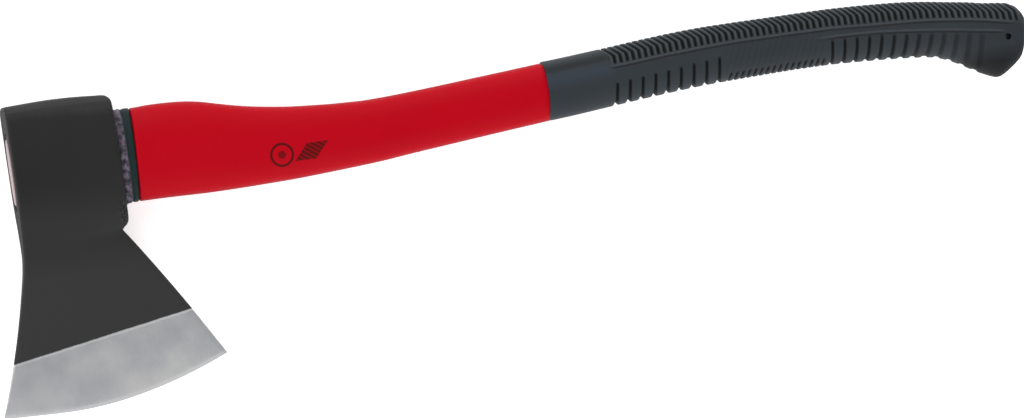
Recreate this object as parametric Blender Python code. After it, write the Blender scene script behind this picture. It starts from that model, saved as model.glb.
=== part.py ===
"""Axe with a forged head and a moulded fibreglass handle, lying on the side of its head.

X runs along the handle from the head to the knob, Y from the cutting edge to the poll, and Z up
through the thickness. The origin is on the lower cheek, under the middle of the eye.
"""

import math

import bmesh
import bpy
import numpy as np

MM = 0.001
FIT_GAP = 0.3 * MM  # between pieces that touch

# Head: width along the handle, thickness across the cheeks, and where the poll and the edge lie.
HEAD_WIDTH = 64.5 * MM
HEAD_THICKNESS = 34.0 * MM
POLL_RELIEF = 1.5 * MM  # the poll is this much lower than each cheek
POLL_HEIGHT = 39.0 * MM  # from the eye's centre to the poll's flat
POLL_ROUNDING = 5.0 * MM
POLL_CORNER = 6.5 * MM  # the poll's corner on the handle's side
SIDE_ROUNDING = 1.4 * MM  # where the cheeks meet the head's narrow sides
CHEEK_TOP = 16.0 * MM  # the cheeks are flat from here, above the eye's centre,
CHEEK_BOTTOM = -9.0 * MM  # to here, below it
LUG_DEPTH = 33.8 * MM  # the handle's side stays straight this far below the eye's centre
LUG_STEP = 4.8 * MM
LUG_HEIGHT = 7.5 * MM
WAIST_DEPTH = 50.0 * MM  # where the head's far side starts to flare
BLADE_DEPTH = 131.0 * MM  # eye's centre to the middle of the edge's chord
EDGE_CHORD = 134.4 * MM
EDGE_SAG = 9.2 * MM
EDGE_TILT = math.radians(7.9)
EDGE_OFFSET = 9.8 * MM  # how far the edge's middle lies towards the handle
TOE_SIDE_BOW = 0.42
HEEL_SIDE_BOW = -0.08
GRIND_WIDTH = 29.9 * MM  # bright ground band above the edge
NECK_THICKNESS = 16.6 * MM  # where the blade starts
BLADE_THICKNESS = 8.2 * MM  # at the top of the ground band
EDGE_THICKNESS = 0.4 * MM

# Eye: an oval that narrows from the handle's side to the far side.
EYE_HEIGHT = 52.0 * MM
EYE_WIDTH = 24.0 * MM
EYE_TAPER = 0.86
RESIN_LAYER = 1.9 * MM

# Collar: rubber bush between the head and the handle's shoulder, with a lip inside the eye.
COLLAR_WIDTH = 9.0 * MM
COLLAR_OVERHANG = 2.0 * MM
COLLAR_ROUNDING = 1.2 * MM
COLLAR_WAIST = 0.5 * MM
COLLAR_LIP = 5.0 * MM
END_RECESS = 1.2 * MM  # how far the handle's end sits below the mouth of the eye

# Handle: red jacket on a flat fibreglass core, with a rubber grip over its far end.
SHOULDER_LENGTH = 97.5 * MM  # the deep end of the shaft, behind the collar
THROAT_LENGTH = 146.0 * MM  # the slender rest of it
HAND_LENGTH = 226.5 * MM  # the grip up to its knob
KNOB_LENGTH = 56.5 * MM
SHOULDER_REVEAL = 0.7 * MM  # the shoulder is this much smaller all round than the collar
SHOULDER_ROUNDING = 1.0 * MM
THROAT_HEIGHT = 34.2 * MM
THROAT_THICKNESS = 24.0 * MM
JACKET_WALL = 1.6 * MM  # around the core, at the tightest place
CORE_CURVE_START = 6.0 * MM  # the core leaves the eye's axis this far before the shoulder
GRIP_HEIGHT = 33.2 * MM
GRIP_THICKNESS = 27.5 * MM
GRIP_WALL = 3.5 * MM
SPIGOT_IN_KNOB = 38.0 * MM  # the jacket runs this far into the knob, which is solid beyond it
LANYARD_BORE = 3.6 * MM
LANYARD_FROM_END = 13.1 * MM
LANYARD_DROP = 6.8 * MM  # below the eye's centre

# Belly of the grip: two groups of finger grooves, counted from the grip's front and from its end.
GROOVE_WIDTH = 1.5 * MM
GROOVE_DEPTH = 1.2 * MM
GROOVE_REACH = 12.5 * MM  # how far a groove climbs from the belly
GROOVE_LEAN = 1.6 * MM
FRONT_GROOVES = 9
FIRST_GROOVE = 38.5 * MM  # from the grip's front
FRONT_GROOVE_PITCH = 7.64 * MM
REAR_GROOVES = 12
LAST_GROOVE = 33.4 * MM  # from the grip's end
REAR_GROOVE_PITCH = 7.2 * MM

# Shape of the shaft: share of the stretch's length, height of the centreline, and how much of the
# way from throat to shoulder the section's size is.
SHOULDER_SHAPE = (
    (0.00, -0.2 * MM, 0.97),
    (0.10, 0.0 * MM, 1.00),
    (0.25, -0.4 * MM, 1.00),
    (0.40, -1.6 * MM, 0.93),
    (0.55, -3.5 * MM, 0.75),
    (0.70, -5.1 * MM, 0.58),
    (1.00, -6.8 * MM, 0.34),
)
THROAT_SHAPE = (
    (0.22, -7.1 * MM, 0.15),
    (0.42, -5.4 * MM, 0.05),
    (0.73, -2.0 * MM, 0.00),
    (1.00, 1.0 * MM, -0.03),
)
# Shape of the grip: share of the stretch's length, height of the centreline, and the section's
# height and thickness as shares of the grip's own.
HAND_SHAPE = (
    (0.00, 1.1 * MM, 1.040, 0.95),
    (0.15, 3.8 * MM, 1.020, 0.97),
    (0.29, 6.4 * MM, 1.020, 0.99),
    (0.43, 8.1 * MM, 1.010, 1.00),
    (0.69, 8.5 * MM, 0.975, 1.00),
    (0.89, 6.6 * MM, 0.980, 1.00),
    (1.00, 3.9 * MM, 0.980, 1.01),
)
KNOB_SHAPE = (
    (0.175, 1.7 * MM, 1.010, 1.03),
    (0.325, -1.1 * MM, 1.105, 1.06),
    (0.560, -6.3 * MM, 1.275, 1.09),
    (0.650, -7.3 * MM, 1.285, 1.09),
    (0.765, -6.6 * MM, 1.160, 1.08),
    (0.890, -4.9 * MM, 0.930, 1.03),
    (0.930, -1.6 * MM, 0.640, 0.98),
    (0.965, 0.6 * MM, 0.380, 0.88),
    (1.000, 0.7 * MM, 0.110, 0.60),
)
# Blade: share of the flare from neck to ground band, and how far its thickness has gone from the
# neck's to the blade's.
BLADE_SHAPE = ((0.13, 0.26), (0.32, 0.50), (0.58, 0.74), (0.80, 0.90), (1.00, 1.00))

RING_POINTS = 24
OVAL_POWER = 2.7  # 2 is an ellipse; more squares the section up
EYE_POWER = 2.3
CORE_POWER = 3.2
POINTS_ACROSS_CHEEK = 9
SHARP_ANGLE = math.radians(35)

HEAD_FACE = HEAD_WIDTH / 2
SHOULDER_AT = HEAD_FACE + COLLAR_WIDTH
GRIP_AT = SHOULDER_AT + SHOULDER_LENGTH + THROAT_LENGTH
KNOB_AT = GRIP_AT + HAND_LENGTH
HANDLE_END = KNOB_AT + KNOB_LENGTH
TONGUE_END = -HEAD_FACE + END_RECESS
TONGUE_INSET = RESIN_LAYER + 2 * FIT_GAP
SPIGOT_INSET = GRIP_WALL + FIT_GAP
CAVITY_END = KNOB_AT + SPIGOT_IN_KNOB
SHOULDER_HEIGHT = EYE_HEIGHT + 2 * COLLAR_OVERHANG - 2 * SHOULDER_REVEAL
SHOULDER_THICKNESS = EYE_WIDTH + 2 * COLLAR_OVERHANG - 2 * SHOULDER_REVEAL

# The core fills the tighter of the tongue and the spigot, up to the jacket's wall.
TONGUE_HEIGHT = EYE_HEIGHT * EYE_TAPER - 2 * TONGUE_INSET
TONGUE_THICKNESS = EYE_WIDTH * EYE_TAPER - 2 * TONGUE_INSET
SPIGOT_HEIGHT = GRIP_HEIGHT * min(row[2] for row in HAND_SHAPE) - 2 * SPIGOT_INSET
SPIGOT_THICKNESS = GRIP_THICKNESS * min(row[3] for row in HAND_SHAPE) - 2 * SPIGOT_INSET
CORE_HEIGHT = min(TONGUE_HEIGHT, SPIGOT_HEIGHT) - 2 * (JACKET_WALL + FIT_GAP)
CORE_THICKNESS = min(TONGUE_THICKNESS, SPIGOT_THICKNESS) - 2 * (JACKET_WALL + FIT_GAP)


def clear_scene():
    for thing in list(bpy.data.objects):
        bpy.data.objects.remove(thing)


def material(name, colour, roughness, metallic=0.0):
    made = bpy.data.materials.new(name)
    made.use_nodes = True
    shader = made.node_tree.nodes["Principled BSDF"]
    shader.inputs["Base Color"].default_value = (*colour, 1.0)
    shader.inputs["Roughness"].default_value = roughness
    shader.inputs["Metallic"].default_value = metallic
    return made


def mesh_object(name, bm, finish=None):
    """A new object under the axe's empty; with no finish it is a cutter and stays hidden."""
    bmesh.ops.recalc_face_normals(bm, faces=bm.faces)
    mesh = bpy.data.meshes.new(name)
    bm.to_mesh(mesh)
    bm.free()
    made = bpy.data.objects.new(name, mesh)
    bpy.context.scene.collection.objects.link(made)
    made.parent = bpy.data.objects["axe"]
    if finish is None:
        made.hide_render = True
        made.display_type = "WIRE"
    else:
        mesh.materials.append(finish)
        mesh.shade_smooth()
        mesh.set_sharp_from_angle(angle=SHARP_ANGLE)
    return made


def boolean(target, cutter, operation="DIFFERENCE"):
    modifier = target.modifiers.new(cutter.name, "BOOLEAN")
    modifier.object = cutter
    modifier.operation = operation
    modifier.solver = "EXACT"


def in_place(start, length, shape):
    """The rows of a shape with their shares turned into places along the handle."""
    return [(start + row[0] * length, *row[1:]) for row in shape]


SHAFT_ROWS = in_place(SHOULDER_AT, SHOULDER_LENGTH, SHOULDER_SHAPE)
SHAFT_ROWS += in_place(SHOULDER_AT + SHOULDER_LENGTH, THROAT_LENGTH, THROAT_SHAPE)
GRIP_ROWS = in_place(GRIP_AT, HAND_LENGTH, HAND_SHAPE)
GRIP_ROWS += in_place(KNOB_AT, KNOB_LENGTH, KNOB_SHAPE)


def smooth_through(rows, column, x):
    """One column of the rows as a smooth curve that doesn't overshoot any of them."""
    at = np.array([row[0] for row in rows])
    value = np.array([row[column] for row in rows])
    slope = np.diff(value) / np.diff(at)
    tangent = np.zeros(len(at))
    for i in range(1, len(at) - 1):
        if slope[i - 1] * slope[i] > 0:
            tangent[i] = 2 * slope[i - 1] * slope[i] / (slope[i - 1] + slope[i])
    tangent[0], tangent[-1] = slope[0], slope[-1]
    i = int(np.clip(np.searchsorted(at, x) - 1, 0, len(at) - 2))
    step = at[i + 1] - at[i]
    t = (x - at[i]) / step
    return float(
        (2 * t**3 - 3 * t**2 + 1) * value[i]
        + (t**3 - 2 * t**2 + t) * step * tangent[i]
        + (3 * t**2 - 2 * t**3) * value[i + 1]
        + (t**3 - t**2) * step * tangent[i + 1]
    )


def spread(first, last, count):
    return [first + (last - first) * k / (count - 1) for k in range(count)]


# Sections across the handle, each a ring of points in the plane of its x


def oval(x, centre, height, thickness, power=OVAL_POWER):
    """A rounded oval, height along Y and thickness along Z."""
    ring = []
    for k in range(RING_POINTS):
        angle = 2 * math.pi * k / RING_POINTS
        c, s = math.cos(angle), math.sin(angle)
        y = centre + height / 2 * math.copysign(abs(c) ** (2 / power), c)
        z = thickness / 2 * math.copysign(abs(s) ** (2 / power), s)
        ring.append((x, y, z))
    return ring


def moved_to(x, ring):
    return [(x, y, z) for _, y, z in ring]


def eye_section(x, inset=0.0):
    """Section of the eye at x, made smaller by the inset on every side."""
    towards_far_side = (HEAD_FACE - x) / HEAD_WIDTH
    scale = 1 + (EYE_TAPER - 1) * towards_far_side
    return oval(x, 0, EYE_HEIGHT * scale - 2 * inset, EYE_WIDTH * scale - 2 * inset, EYE_POWER)


def collar_section(x, inset):
    height = EYE_HEIGHT + 2 * COLLAR_OVERHANG - 2 * inset
    thickness = EYE_WIDTH + 2 * COLLAR_OVERHANG - 2 * inset
    return oval(x, 0, height, thickness, EYE_POWER)


def shaft_section(x, inset=0.0):
    centre = smooth_through(SHAFT_ROWS, 1, x)
    swell = smooth_through(SHAFT_ROWS, 2, x)
    height = THROAT_HEIGHT + swell * (SHOULDER_HEIGHT - THROAT_HEIGHT)
    thickness = THROAT_THICKNESS + swell * (SHOULDER_THICKNESS - THROAT_THICKNESS)
    return oval(x, centre, height - 2 * inset, thickness - 2 * inset)


def grip_section(x, inset=0.0):
    centre = smooth_through(GRIP_ROWS, 1, x)
    height = GRIP_HEIGHT * smooth_through(GRIP_ROWS, 2, x)
    thickness = GRIP_THICKNESS * smooth_through(GRIP_ROWS, 3, x)
    return oval(x, centre, height - 2 * inset, thickness - 2 * inset)


def centre_of_handle(x):
    """Height of the handle's centreline at x."""
    if x <= SHOULDER_AT:
        return 0.0
    return smooth_through(SHAFT_ROWS if x <= GRIP_AT else GRIP_ROWS, 1, x)


def core_rings(outset, end):
    """Rings along the core, or along its hollow in the jacket when they are set out."""
    height, thickness = CORE_HEIGHT + 2 * outset, CORE_THICKNESS + 2 * outset
    bends = spread(SHOULDER_AT, KNOB_AT, 23)[:-1]
    along = [TONGUE_END, SHOULDER_AT - CORE_CURVE_START, *bends, end]
    return [oval(x, centre_of_handle(x), height, thickness, CORE_POWER) for x in along]


def grip_stations():
    """Where the grip's rings lie: evenly along the hand hold, and closer together round the knob."""
    hold = spread(GRIP_AT + FIT_GAP, KNOB_AT, 15)
    knob = [0.09, 0.175, 0.28, 0.42, 0.560, 0.650, 0.765, 0.890, 0.930, 0.965, 1.000]
    return hold + [KNOB_AT + share * KNOB_LENGTH for share in knob]


# Skins over rings


def skin(bm, loops):
    for first, second in zip(loops, loops[1:]):
        for k in range(len(first)):
            after = (k + 1) % len(first)
            bm.faces.new((first[k], first[after], second[after], second[k]))


def rod(rings):
    """A solid through the rings in turn, capped at both ends."""
    bm = bmesh.new()
    loops = [[bm.verts.new(point) for point in ring] for ring in rings]
    skin(bm, loops)
    bm.faces.new(loops[0])
    bm.faces.new(loops[-1])
    return bm


def folded(rings):
    """A solid through rings whose second half mirrors the first, closed by strips between them."""
    bm = bmesh.new()
    loops = [[bm.verts.new(point) for point in ring] for ring in rings]
    skin(bm, loops)
    for loop in (loops[0], loops[-1]):
        for k in range(len(loop) // 2 - 1):
            bm.faces.new((loop[k], loop[k + 1], loop[-2 - k], loop[-1 - k]))
    return bm


def sleeve(rings):
    """A solid whose rings run along its outside, back along its bore and round to the first."""
    bm = bmesh.new()
    loops = [[bm.verts.new(point) for point in ring] for ring in rings]
    skin(bm, [*loops, loops[0]])
    return bm


def socket(outer, inner):
    """A solid open at its first end only, with a blind bore through the inner rings."""
    bm = bmesh.new()
    outside = [[bm.verts.new(point) for point in ring] for ring in outer]
    inside = [[bm.verts.new(point) for point in ring] for ring in inner]
    skin(bm, outside)
    skin(bm, inside)
    skin(bm, [inside[0], outside[0]])
    bm.faces.new(outside[-1])
    bm.faces.new(inside[-1])
    return bm


# Handle


def build_core(finish):
    """Flat glass-fibre bar that runs from the end of the tongue to the rear of the grip."""
    return mesh_object("handle_core", rod(core_rings(0, KNOB_AT)), finish)


def build_jacket(finish):
    """Red jacket: tongue, neck, shoulder, shaft, and the spigot that carries the grip."""
    rings = [eye_section(TONGUE_END, TONGUE_INSET), eye_section(HEAD_FACE, TONGUE_INSET)]
    rings.append(moved_to(SHOULDER_AT + FIT_GAP, rings[-1]))
    shoulder_start = SHOULDER_AT + FIT_GAP
    throat_at = SHOULDER_AT + SHOULDER_LENGTH
    rings.append(shaft_section(shoulder_start, SHOULDER_ROUNDING))
    along = spread(shoulder_start + SHOULDER_ROUNDING, throat_at, 11)
    along += spread(throat_at, GRIP_AT, 8)[1:]
    rings += [shaft_section(x) for x in along]
    spigot = [x for x in grip_stations() if x < CAVITY_END - FIT_GAP]
    spigot[0] = GRIP_AT
    rings += [grip_section(x, SPIGOT_INSET) for x in (*spigot, CAVITY_END - FIT_GAP)]
    bore = core_rings(FIT_GAP, KNOB_AT + FIT_GAP)
    return mesh_object("handle_jacket", socket(rings, bore), finish)


def lanyard_cutter():
    bm = bmesh.new()
    bmesh.ops.create_cone(
        bm,
        cap_ends=True,
        segments=16,
        radius1=LANYARD_BORE / 2,
        radius2=LANYARD_BORE / 2,
        depth=2 * GRIP_THICKNESS,
    )
    place = (HANDLE_END - LANYARD_FROM_END, -LANYARD_DROP, 0)
    bmesh.ops.translate(bm, verts=bm.verts, vec=place)
    return mesh_object("lanyard_cutter", bm)


def groove_cutters():
    """Leaning slabs across the belly, as deep as they like: the groove floor fills them again."""
    places = [GRIP_AT + FIRST_GROOVE + k * FRONT_GROOVE_PITCH for k in range(FRONT_GROOVES)]
    places += [HANDLE_END - LAST_GROOVE - k * REAR_GROOVE_PITCH for k in range(REAR_GROOVES)]
    bm = bmesh.new()
    for x in places:
        belly = min(y for _, y, _ in grip_section(x))
        low, high = belly - 2 * GROOVE_WIDTH, belly + GROOVE_REACH
        outline = [
            (x - GROOVE_WIDTH / 2, low),
            (x + GROOVE_WIDTH / 2, low),
            (x + GROOVE_LEAN + GROOVE_WIDTH / 2, high),
            (x + GROOVE_LEAN - GROOVE_WIDTH / 2, high),
        ]
        face = bm.faces.new([bm.verts.new((px, py, -GRIP_THICKNESS)) for px, py in outline])
        lifted = bmesh.ops.extrude_face_region(bm, geom=[face])["geom"]
        corners = [item for item in lifted if isinstance(item, bmesh.types.BMVert)]
        bmesh.ops.translate(bm, verts=corners, vec=(0, 0, 2 * GRIP_THICKNESS))
    return mesh_object("groove_cutters", bm)


def build_grip(finish):
    """Rubber grip: outer form less the grooves, plus their floor, hollowed for the spigot."""
    stations = grip_stations()
    grip = mesh_object("rubber_grip", rod([grip_section(x) for x in stations]), finish)
    boolean(grip, groove_cutters())
    inner_form = [x for x in stations if x < HANDLE_END - LANYARD_FROM_END]
    inner_form[0] += FIT_GAP
    floor = rod([grip_section(x, GROOVE_DEPTH) for x in inner_form])
    boolean(grip, mesh_object("groove_floor", floor), "UNION")
    hollow = [x for x in stations if x < CAVITY_END - FIT_GAP]
    hollow[0] = GRIP_AT
    cavity = [grip_section(x, GRIP_WALL) for x in (*hollow, CAVITY_END)]
    mouth = moved_to(GRIP_AT - FIT_GAP, cavity[0])
    boolean(grip, mesh_object("grip_cavity", rod([mouth, *cavity])))
    boolean(grip, lanyard_cutter())
    return grip


# What joins the handle to the head


def build_collar(finish):
    """Bush with a rounded flange outside the eye and a lip inside it."""
    start, end = HEAD_FACE + FIT_GAP, SHOULDER_AT
    lip_end = HEAD_FACE - COLLAR_LIP
    outer = [
        eye_section(lip_end, FIT_GAP),
        moved_to(start, eye_section(HEAD_FACE, FIT_GAP)),
        collar_section(start, COLLAR_ROUNDING),
        collar_section(start + COLLAR_ROUNDING, 0),
        collar_section((start + end) / 2, COLLAR_WAIST),
        collar_section(end - COLLAR_ROUNDING, 0),
        collar_section(end, COLLAR_ROUNDING),
    ]
    bore = TONGUE_INSET - FIT_GAP
    at_mouth = eye_section(HEAD_FACE, bore)
    inner = [moved_to(end, at_mouth), at_mouth, eye_section(lip_end, bore)]
    return mesh_object("eye_collar", sleeve(outer + inner), finish)


def build_resin(finish):
    """Cast resin between the tongue and the wall of the eye, from the collar's lip outwards."""
    start, end = TONGUE_END, HEAD_FACE - COLLAR_LIP - FIT_GAP
    outer = [eye_section(start, FIT_GAP), eye_section(end, FIT_GAP)]
    bore = TONGUE_INSET - FIT_GAP
    inner = [eye_section(end, bore), eye_section(start, bore)]
    return mesh_object("eye_resin", sleeve(outer + inner), finish)


# Head


def poll_rows():
    """Rows from the poll's flat round to its sides."""
    side = HEAD_THICKNESS / 2 - POLL_RELIEF
    rows = []
    for turn in (0, 30, 60, 90):
        sine, cosine = math.sin(math.radians(turn)), math.cos(math.radians(turn))
        height = POLL_HEIGHT - POLL_ROUNDING * (1 - cosine)
        left = (-HEAD_FACE + SIDE_ROUNDING * (1 - sine), height)
        right = (HEAD_FACE - POLL_CORNER * (1 - sine), height)
        rows.append((left, right, 0, side - POLL_ROUNDING * (1 - sine), 0))
    return rows


def cheek_rows():
    """Level rows down the cheeks and round the lug to the neck of the blade."""
    half, neck = HEAD_THICKNESS / 2, NECK_THICKNESS / 2
    rows = [((-HEAD_FACE, y), (HEAD_FACE, y), 0, half, 0) for y in (CHEEK_TOP, CHEEK_BOTTOM)]
    fall = -LUG_DEPTH - CHEEK_BOTTOM
    for share, thinned in ((0.33, 0.06), (0.66, 0.24), (1.0, 0.54)):
        y = CHEEK_BOTTOM + share * fall
        rows.append(((-HEAD_FACE, y), (HEAD_FACE, y), 0, half + thinned * (neck - half), 0.01))
    for turn, thinned in ((45, 0.80), (90, 1.0)):
        sine, cosine = math.sin(math.radians(turn)), math.cos(math.radians(turn))
        right = (HEAD_FACE - LUG_STEP * (1 - cosine), -LUG_DEPTH - LUG_HEIGHT * sine)
        left_drop = (WAIST_DEPTH - LUG_DEPTH) * turn / 90
        left = (-HEAD_FACE, -LUG_DEPTH - left_drop)
        rows.append((left, right, 0, half + thinned * (neck - half), 0.04))
    return rows


def blade_rows():
    """Rows down the flare from neck to edge, curving and tilting into the edge's arc."""
    along, across = math.cos(EDGE_TILT), math.sin(EDGE_TILT)
    reach = EDGE_CHORD / 2
    toe = (EDGE_OFFSET - reach * along, -BLADE_DEPTH - reach * across)
    heel = (EDGE_OFFSET + reach * along, -BLADE_DEPTH + reach * across)
    waist = (-HEAD_FACE, -WAIST_DEPTH)
    notch = (HEAD_FACE - LUG_STEP, -LUG_DEPTH - LUG_HEIGHT)
    flare = BLADE_DEPTH - (WAIST_DEPTH + LUG_DEPTH + LUG_HEIGHT) / 2
    grind_at = 1 - GRIND_WIDTH / flare
    profile = []
    for share, thinned in BLADE_SHAPE:
        thickness = NECK_THICKNESS + thinned * (BLADE_THICKNESS - NECK_THICKNESS)
        profile.append((share * grind_at, 0, thickness, 0.04 + 0.14 * share))
    for share, left_of_blade, hollow in ((0.30, 0.80, 0.14), (0.62, 0.53, 0.10), (0.88, 0.22, 0.05)):
        at = grind_at + (1 - grind_at) * share
        profile.append((at, EDGE_SAG * share, left_of_blade * BLADE_THICKNESS, hollow))
    profile.append((1, EDGE_SAG, EDGE_THICKNESS, 0))
    rows = []
    for share, sag, thickness, belly in profile:
        left = bowed(waist, toe, share, TOE_SIDE_BOW)
        right = bowed(notch, heel, share, HEEL_SIDE_BOW)
        rows.append((left, right, sag, thickness / 2, belly))
    return rows


def bowed(start, end, share, bow):
    """A point on the way from start to end, held back in X by the bow."""
    x = start[0] + (end[0] - start[0]) * (share - bow * share * (1 - share))
    y = start[1] + (end[1] - start[1]) * share
    return x, y


def head_ring(left, right, sag, half, belly):
    """One row of the head as a closed ring: its upper half from left to right, then the lower."""
    rounding = min(SIDE_ROUNDING, 0.8 * half)
    side = half * (1 - belly) - rounding
    bend = rounding * (1 - math.sqrt(0.5))
    upper = [(left[0], left[1], side), (left[0] + bend, left[1], side + rounding - bend)]
    for s in spread(0, 1, POINTS_ACROSS_CHEEK):
        x = left[0] + rounding + (right[0] - left[0] - 2 * rounding) * s
        y = left[1] + (right[1] - left[1]) * s - 4 * sag * s * (1 - s)
        upper.append((x, y, half * (1 - belly * (2 * s - 1) ** 2)))
    upper += [(right[0] - bend, right[1], side + rounding - bend), (right[0], right[1], side)]
    return upper + [(x, y, -z) for x, y, z in reversed(upper)]


def eye_cutter():
    """The tapered eye, run past both faces of the head."""
    overrun = 3 * MM
    ends = [eye_section(-HEAD_FACE - overrun), eye_section(HEAD_FACE + overrun)]
    return mesh_object("eye_cutter", rod(ends))


def build_head(finish):
    rows = poll_rows() + cheek_rows() + blade_rows()
    head = mesh_object("axe_head", folded([head_ring(*row) for row in rows]), finish)
    boolean(head, eye_cutter())
    return head


def main():
    clear_scene()
    axe = bpy.data.objects.new("axe", None)
    bpy.context.scene.collection.objects.link(axe)
    axe.location.z = HEAD_THICKNESS / 2
    build_head(material("black_paint", (0.030, 0.030, 0.031), 0.42, 0.2))
    build_core(material("fibreglass", (0.78, 0.66, 0.62), 0.45))
    build_jacket(material("red_plastic", (0.50, 0.006, 0.014), 0.35))
    build_grip(material("grip_rubber", (0.040, 0.052, 0.060), 0.70))
    build_collar(material("collar_rubber", (0.022, 0.032, 0.036), 0.65))
    build_resin(material("cast_resin", (0.10, 0.03, 0.035), 0.30))


main()
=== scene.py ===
import math

import bmesh
import bpy
import numpy as np
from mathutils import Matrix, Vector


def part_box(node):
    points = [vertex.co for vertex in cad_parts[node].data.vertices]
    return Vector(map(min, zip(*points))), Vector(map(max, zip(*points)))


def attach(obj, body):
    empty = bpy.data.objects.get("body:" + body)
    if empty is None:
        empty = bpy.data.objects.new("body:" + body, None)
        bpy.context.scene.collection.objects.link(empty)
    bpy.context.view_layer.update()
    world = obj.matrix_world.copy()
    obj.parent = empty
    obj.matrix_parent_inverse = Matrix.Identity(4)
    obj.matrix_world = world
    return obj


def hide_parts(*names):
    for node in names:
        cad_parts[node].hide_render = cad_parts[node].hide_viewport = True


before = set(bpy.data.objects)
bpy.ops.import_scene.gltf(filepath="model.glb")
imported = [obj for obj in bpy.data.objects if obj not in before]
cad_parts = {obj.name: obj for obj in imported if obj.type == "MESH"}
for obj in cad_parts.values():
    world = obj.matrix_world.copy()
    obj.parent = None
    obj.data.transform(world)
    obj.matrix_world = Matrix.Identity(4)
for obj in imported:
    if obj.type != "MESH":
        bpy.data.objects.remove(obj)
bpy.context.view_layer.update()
mm = 0.001

headLow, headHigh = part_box("axe_head")
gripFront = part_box("rubber_grip")[0].x
midPlane = (headLow.z + headHigh.z) / 2


def through(rows, x):
    # a curve through rows of (place, value) that never overshoots them
    at = [row[0] for row in rows]
    value = [row[1] for row in rows]
    last = len(at) - 1
    if x <= at[0]:
        return value[0]
    if x >= at[last]:
        return value[last]
    slope = [(value[i + 1] - value[i]) / (at[i + 1] - at[i]) for i in range(last)]
    tangent = [slope[0]]
    for i in range(1, last):
        product = slope[i - 1] * slope[i]
        tangent.append(2 * product / (slope[i - 1] + slope[i]) if product > 0 else 0.0)
    tangent.append(slope[-1])
    i = max(k for k in range(last) if at[k] <= x)
    step = at[i + 1] - at[i]
    t = (x - at[i]) / step
    return (
        (2 * t**3 - 3 * t**2 + 1) * value[i]
        + (t**3 - 2 * t**2 + t) * step * tangent[i]
        + (3 * t**2 - 2 * t**3) * value[i + 1]
        + (t**3 - t**2) * step * tangent[i + 1]
    )


def spread(first, last, count):
    return [first + (last - first) * k / (count - 1) for k in range(count)]


def outlineOf(node, x, reach=1.2 * mm):
    # back, belly and half thickness of a solid at x; looks either side of x, past any groove
    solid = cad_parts[node]
    outside = 200 * mm
    backs, bellies, sides = [], [], []
    for place in (x - reach, x, x + reach):
        hit, back, _, _ = solid.ray_cast((place, outside, midPlane), (0, -1, 0))
        if hit:
            backs.append(back.y)
        hit, belly, _, _ = solid.ray_cast((place, -outside, midPlane), (0, 1, 0))
        if hit:
            bellies.append(belly.y)
        if backs and bellies:
            middle = (max(backs) + min(bellies)) / 2
            hit, side, _, _ = solid.ray_cast((place, middle, outside), (0, 0, -1))
            if hit:
                sides.append(side.z - midPlane)
    return max(backs), min(bellies), max(sides)


def oval(top, bottom, half, points, power):
    # a ring through two points in the mid plane; power 2 is an ellipse, more squares it up
    loss = (1 - math.cos(2 * math.pi / points) ** (2 / power)) / 3  # what smoothing takes off
    centre = ((top[0] + bottom[0]) / 2, (top[1] + bottom[1]) / 2)
    along = ((top[0] - bottom[0]) / 2, (top[1] - bottom[1]) / 2)
    ring = []
    for k in range(points):
        angle = 2 * math.pi * k / points
        c = math.copysign(abs(math.cos(angle)) ** (2 / power), math.cos(angle)) / (1 - loss)
        s = math.copysign(abs(math.sin(angle)) ** (2 / power), math.sin(angle)) / (1 - loss)
        ring.append((centre[0] + along[0] * c, centre[1] + along[1] * c, midPlane + half * s))
    return ring


def selectRows(piece, wanted):
    mesh = bmesh.from_edit_mesh(piece.data)
    row = mesh.verts.layers.int["row"]
    mesh.select_mode = {"VERT"}
    for vert in mesh.verts:
        vert.select_set(vert[row] in wanted)
    mesh.select_flush_mode()
    for edge in mesh.edges:
        first, second = edge.verts
        edge.select_set(first.select and second.select and first[row] == second[row])
    bmesh.update_edit_mesh(piece.data)


def loft(name, sections, caps=("ngon", "ngon")):
    # a circle of the sections' points, extruded from section to section and laid on each in turn;
    # with no caps the last section meets the first again, as in a ring
    if caps is None:
        sections = [*sections, sections[0]]
    bpy.ops.object.select_all(action="DESELECT")
    bpy.ops.mesh.primitive_circle_add(vertices=len(sections[0]), radius=10 * mm)
    piece = bpy.context.object
    piece.name = piece.data.name = name
    bpy.ops.object.mode_set(mode="EDIT")
    bpy.ops.mesh.select_mode(type="EDGE")
    bpy.ops.mesh.select_all(action="SELECT")
    mesh = bmesh.from_edit_mesh(piece.data)
    place = mesh.verts.layers.int.new("place")
    mesh.verts.layers.int.new("row")
    mesh.verts.ensure_lookup_table()
    for k, vert in enumerate(mesh.verts):
        vert[place] = k
    for number, section in enumerate(sections):
        if number:
            bpy.ops.mesh.extrude_edges_move()
        mesh = bmesh.from_edit_mesh(piece.data)
        place, row = mesh.verts.layers.int["place"], mesh.verts.layers.int["row"]
        for vert in mesh.verts:
            if vert.select:
                vert.co = section[vert[place]]
                vert[row] = number
    last = len(sections) - 1
    if caps is None:
        bpy.ops.mesh.select_all(action="SELECT")
        bpy.ops.mesh.remove_doubles(threshold=0.001 * mm)
    else:
        for end, cap in zip((0, last), caps):
            selectRows(piece, {end})
            if cap == "grid":
                bpy.ops.mesh.fill_grid(span=len(sections[0]) // 4)
            else:
                bpy.ops.mesh.edge_face_add()
    bpy.ops.mesh.select_all(action="SELECT")
    bpy.ops.mesh.normals_make_consistent(inside=False)
    bpy.ops.mesh.select_all(action="DESELECT")
    bpy.ops.object.mode_set(mode="OBJECT")
    return piece


def applyModifier(piece, kind, **settings):
    bpy.ops.object.select_all(action="DESELECT")
    piece.select_set(True)
    bpy.context.view_layer.objects.active = piece
    modifier = piece.modifiers.new(kind.lower(), kind)
    for name, value in settings.items():
        setattr(modifier, name, value)
    bpy.ops.object.modifier_apply(modifier=modifier.name)


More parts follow.
